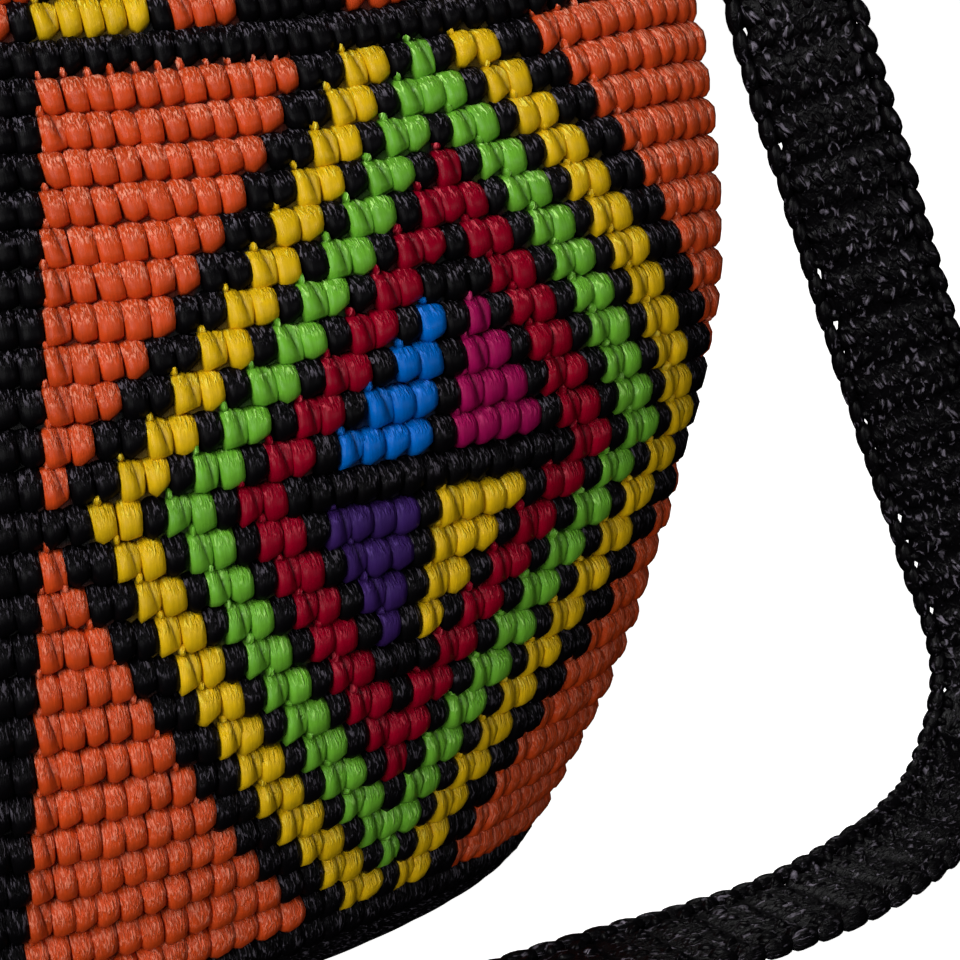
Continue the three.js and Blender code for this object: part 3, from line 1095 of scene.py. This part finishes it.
class STRAWBAG_OT_rim(bpy.types.Operator):
    """Works the edging: a last row of stitches with a chain lying along its top"""

    bl_idname = "strawbag.rim"
    bl_label = "Edging"

    CHAIN_ROW = 0.62  # how far up the edging's row the chain lies
    # The chain's two strands: mm from the wall's face, and mm that a link slants to either side
    CHAIN = ((-0.9, 0.45), (-3.1, -0.45))
    LINK_RADIUS = 1.35
    LINK_LENGTH = 1.3  # in stitches

    def execute(self, context):
        face = WallFace()
        sizes = context.scene.strawbag_sizes
        random = np.random.default_rng(sizes.seed + 1)
        column = np.arange(STITCHES_ROUND)
        row = np.full(STITCHES_ROUND, CHART_BOTTOM_ROW - ROWS)
        pads = wall_stitches(face, sizes, row, column, False, np.zeros(STITCHES_ROUND, bool), random)
        chains = [self.chain(face, *strand, random) for strand in self.CHAIN]
        make_piece("rim_stitches", [pads, *chains], straw(context, "black"), "rim_straw", "rim_edge")
        return {"FINISHED"}

    def chain(self, face, seat, slant, random):
        """One strand of the chain: plump links that slant across the edge, each a tube whose radius
        follows a power of the sine of the way along it."""
        around, steps = LOBE_POINTS
        uneven = unevenness(random, STITCHES_ROUND)
        share = np.linspace(*LOBE_ENDS, steps)[None, :, None]
        angle = (2 * np.pi * np.arange(around) / around)[None, None, :]
        girth = self.LINK_RADIUS * np.sin(np.pi * share) ** 0.5 * (1 + uneven(0.1))
        stitch = np.arange(STITCHES_ROUND)[:, None, None] + self.LINK_LENGTH * (share - 0.5)
        lift = seat + slant * (2 * share - 1) - girth * np.cos(angle)
        row = ROWS + self.CHAIN_ROW + girth * np.sin(angle) / ROW_HEIGHT
        stitch, lift, row = np.broadcast_arrays(stitch, lift, row)
        points = face.lifted(stitch, row, lift)
        faces = tube_faces(around, steps)
        return shape_batch(points, lift, stitch * STITCH_WIDTH, LINK_APART, faces, random)


class STRAWBAG_OT_base(bpy.types.Operator):
    """Works the base: rings of crochet under it, ridged rows round its edge and its inside floor"""

    bl_idname = "strawbag.base"
    bl_label = "Base"

    COLUMNS = 240
    RINGS = 13
    LEVELS_PER_RING = 3
    EDGE_LEVELS = 22
    EDGE_RIDGES = 2
    EDGE_START = 0.03  # share of the edge's height at which its levels start
    EDGE_ROW = 0.15  # how far up the wall's lowest row the edge reaches
    EDGE_INSET = -1.6  # mm from the solids' face to the grooves of the edge
    EDGE_RELIEF = 1.7  # mm from there to the top of its ridges
    EDGE_BEAD = 0.25  # mm that a ridge swells at each stitch
    LIP = 1.0  # mm by which the edge's top reaches inwards past the floor inside
    GROOVE = 1.0
    FLOOR_RELIEF = 0.6  # depth of the grooves inside, as a share of those under the base
    FLOOR_SINK = 0.4  # mm from the top of the base's thickness down to those grooves
    FLOOR_REACH = 0.97  # share of the inside's size that the floor's rings fill
    SMALLEST = 0.02  # share of the base's size at which its middle is closed

    def execute(self, context):
        face = WallFace()
        stitch = np.linspace(0, STITCHES_ROUND, self.COLUMNS, endpoint=False)
        turns = face.turn(stitch)
        edge = face.height(stitch, np.full_like(stitch, self.EDGE_ROW))
        bead = self.EDGE_BEAD * (ridges(stitch, 0.7) - 0.5)
        levels = self.RINGS * self.LEVELS_PER_RING
        rings = []
        for share in np.linspace(self.SMALLEST, 1, levels):
            groove = self.GROOVE * (1 - ridges(self.RINGS * share))
            rings.append(lens_points(turns, *(SECTIONS[0, 1:] * share), groove))
        for share in np.linspace(self.EDGE_START, 1, self.EDGE_LEVELS):
            height = share * edge
            inset = self.EDGE_INSET + (self.EDGE_RELIEF + bead) * ridges(self.EDGE_RIDGES * share)
            half_sizes = np.array(face.half_sizes(height)) + inset
            rings.append(lens_points(turns, *half_sizes, height))
        inside = SECTIONS[1, 1:] - CROCHET
        rings.append(lens_points(turns, *(inside - self.LIP), edge))
        for share in np.linspace(self.FLOOR_REACH, self.SMALLEST, levels):
            ridge = self.FLOOR_RELIEF * self.GROOVE * ridges(self.RINGS * share)
            rings.append(lens_points(turns, *(inside * share), CROCHET - self.FLOOR_SINK + ridge))
        points = np.stack(rings)
        way = running_length(points)
        around = np.broadcast_to(stitch * STITCH_WIDTH, way.shape)
        strands = np.stack([way, around, 0 * way], axis=-1)
        batch = one_surface(points, strands, tube_faces(*points.shape[1::-1]))
        make_piece("base_rings", [batch], straw(context, "black"), "base_straw", "base")
        return {"FINISHED"}


class STRAWBAG_OT_strap(bpy.types.Operator):
    """Works the strap: a ribbed band, slanting strands on both faces and loops along its edges"""

    bl_idname = "strawbag.strap"
    bl_label = "Strap"

    END_MARGIN = 2.0  # mm that the rows leave free at each end of the strap
    CORE_MARGIN = 0.5  # mm that the band leaves free there
    CORE_EDGES = (-11.3, 11.4)  # mm across the strap
    PINHOLE = 2.0  # mm by which the band stops short of the inner loops, at most
    CORE_SIDES = 10
    CORE_STEPS = 8  # for each rib
    RIB_HEIGHT = 1.2
    STITCHES_ACROSS = 6
    STITCH_PITCH = 4.0
    # The two rows of a rib: shifts along and across it in mm, slants of its blocks and strands
    RIB_ROWS = ((-2.4, -0.5, 0.25, 0.5), (2.5, 0.5, -0.3, -0.45))
    # Half length, half width, lift and height in mm
    BLOCK = (2.65, 1.95, 0.4, 1.8)
    STRAND = (2.6, 0.85, 0.8, 1.6)
    HOLE_BLOCK = (0.8, 1.5)  # further shift and half length of the blocks beside the pinholes
    # The loops of the inner and outer edge: place across, half length in rows, radius, half
    # thickness and slant
    LOOPS = ((-12.4, 0.72, 1.8, 1.9, -0.4), (12.5, 0.6, 2.0, 2.1, 0.6))

    def execute(self, context):
        band = StrapBand()
        sizes = context.scene.strawbag_sizes
        random = np.random.default_rng(sizes.seed + 2)
        worked = band.length - 2 * self.END_MARGIN
        self.ribs = int(worked / (2 * sizes.strap_row / MM))
        self.rib = worked / self.ribs
        colour = context.scene.strawbag_straws.black
        black = straw_material("Raffia straw, black, strap", colour, STRAP_FINISH)
        make_piece("strap_band", [self.core(band, sizes, random)], black, "strap_straw", "strap")
        for side, name in ((1, "strap_stitches_back"), (-1, "strap_stitches_face")):
            batches = [batch for row in (0, 1) for batch in self.stitches(band, side, row, random)]
            make_piece(name, batches, black, "strap_straw", "strap")
        edges = [self.loops(band, *loop, random) for loop in self.LOOPS]
        make_piece("strap_edges", edges, black, "strap_straw", "strap")
        return {"FINISHED"}

    def core(self, band, sizes, random):
        """The band behind the strands: a flat oval section carried along the strap, thicker on the
        ribs. Its inner edge is notched between the rows, by uneven amounts, which leaves pinholes."""
        inner, outer = self.CORE_EDGES
        angle = 2 * np.pi * np.arange(self.CORE_SIDES)[::-1] / self.CORE_SIDES
        flat = signed_power(np.cos(angle), 0.5)
        steps = self.CORE_STEPS * self.ribs
        along = np.linspace(self.CORE_MARGIN, band.length - self.CORE_MARGIN, steps)[:, None]
        rib = (along - self.END_MARGIN) / self.rib
        row = 2 * rib
        notch = np.clip(random.uniform(-0.5, 1, 2 * self.ribs + 2), 0, 1)[np.rint(row).astype(int)]
        notch = self.PINHOLE * notch * np.cos(np.pi * row) ** 8
        across = (inner + outer) / 2 + (outer - inner) / 2 * flat
        across = across + notch * (flat < -0.5)
        off = (sizes.strap_core / MM + self.RIB_HEIGHT * ridges(rib)) * np.sin(angle)
        points = band.point(along, across, off)
        along = np.broadcast_to(along, across.shape)
        strands = np.stack([across, along, 0 * along], axis=-1)
        return one_surface(points, strands, tube_faces(self.CORE_SIDES, steps))

    def stitches(self, band, side, row, random):
        """The stitches in the first or second row of each rib: a block each, and a strand slanting
        over it. Beside the inner edge the second row's blocks are short, which leaves pinholes."""
        shift, aside, block_slant, strand_slant = self.RIB_ROWS[row]
        middle = (self.STITCHES_ACROSS - 1) / 2
        columns = (np.arange(self.STITCHES_ACROSS) - middle) * self.STITCH_PITCH
        ribs = self.END_MARGIN + (np.arange(self.ribs) + 0.5) * self.rib
        along, across = (grid.ravel() for grid in np.meshgrid(ribs + shift, columns, indexing="ij"))
        along = along + random.uniform(-0.3, 0.3, len(along))
        half_long, *block = self.BLOCK
        beside_hole = (row == 1) & (across * side < 1 - middle * self.STITCH_PITCH)
        long = np.where(beside_hole, self.HOLE_BLOCK[1], half_long)
        place = np.where(beside_hole, along + self.HOLE_BLOCK[0], along)
        yield strap_pads(band, place, across + aside, (long, *block), block_slant, side, random)
        kept = ~beside_hole
        lying = across[kept] + aside + random.uniform(-1, 1, kept.sum())
        yield strap_pads(band, along[kept], lying, self.STRAND, strand_slant, side, random)

    def loops(self, band, across, half_long, radius, thick, slant, random):
        row = self.rib / 2
        along = self.END_MARGIN + (np.arange(2 * self.ribs) + 0.5) * row
        return strap_lobes(band, along, across, half_long * row, radius, thick, slant, random)


class STRAWBAG_PT_panel(bpy.types.Panel):
    """Lists the bag's pieces, colours and sizes"""

    bl_idname = "STRAWBAG_PT_panel"
    bl_label = "Straw Bag"
    bl_space_type = "VIEW_3D"
    bl_region_type = "UI"
    bl_category = "Straw Bag"

    def draw(self, context):
        for operator in OPERATORS:
            self.layout.operator(operator.bl_idname)
        for name in SETTINGS:
            box = self.layout.box()
            settings = getattr(context.scene, name)
            for key in settings.__annotations__:
                box.prop(settings, key)


SETTINGS = {
    "strawbag_straws": STRAWBAG_PG_straws,
    "strawbag_sizes": STRAWBAG_PG_sizes,
    "strawbag_stage": STRAWBAG_PG_stage,
}
OPERATORS = (
    STRAWBAG_OT_stage,
    STRAWBAG_OT_wall_stitches,
    STRAWBAG_OT_wall_back,
    STRAWBAG_OT_rim,
    STRAWBAG_OT_base,
    STRAWBAG_OT_strap,
)
CLASSES = (*SETTINGS.values(), *OPERATORS, STRAWBAG_PT_panel)


def register():
    for cls in CLASSES:
        bpy.utils.register_class(cls)
    for name, group in SETTINGS.items():
        setattr(bpy.types.Scene, name, bpy.props.PointerProperty(type=group))


def unregister():
    for name in SETTINGS:
        delattr(bpy.types.Scene, name)
    for cls in reversed(CLASSES):
        bpy.utils.unregister_class(cls)


def main():
    register()
    bpy.ops.strawbag.stage()
    bpy.ops.strawbag.wall_stitches()
    bpy.ops.strawbag.wall_back()
    bpy.ops.strawbag.rim()
    bpy.ops.strawbag.base()
    bpy.ops.strawbag.strap()


if __name__ == "__main__":
    main()
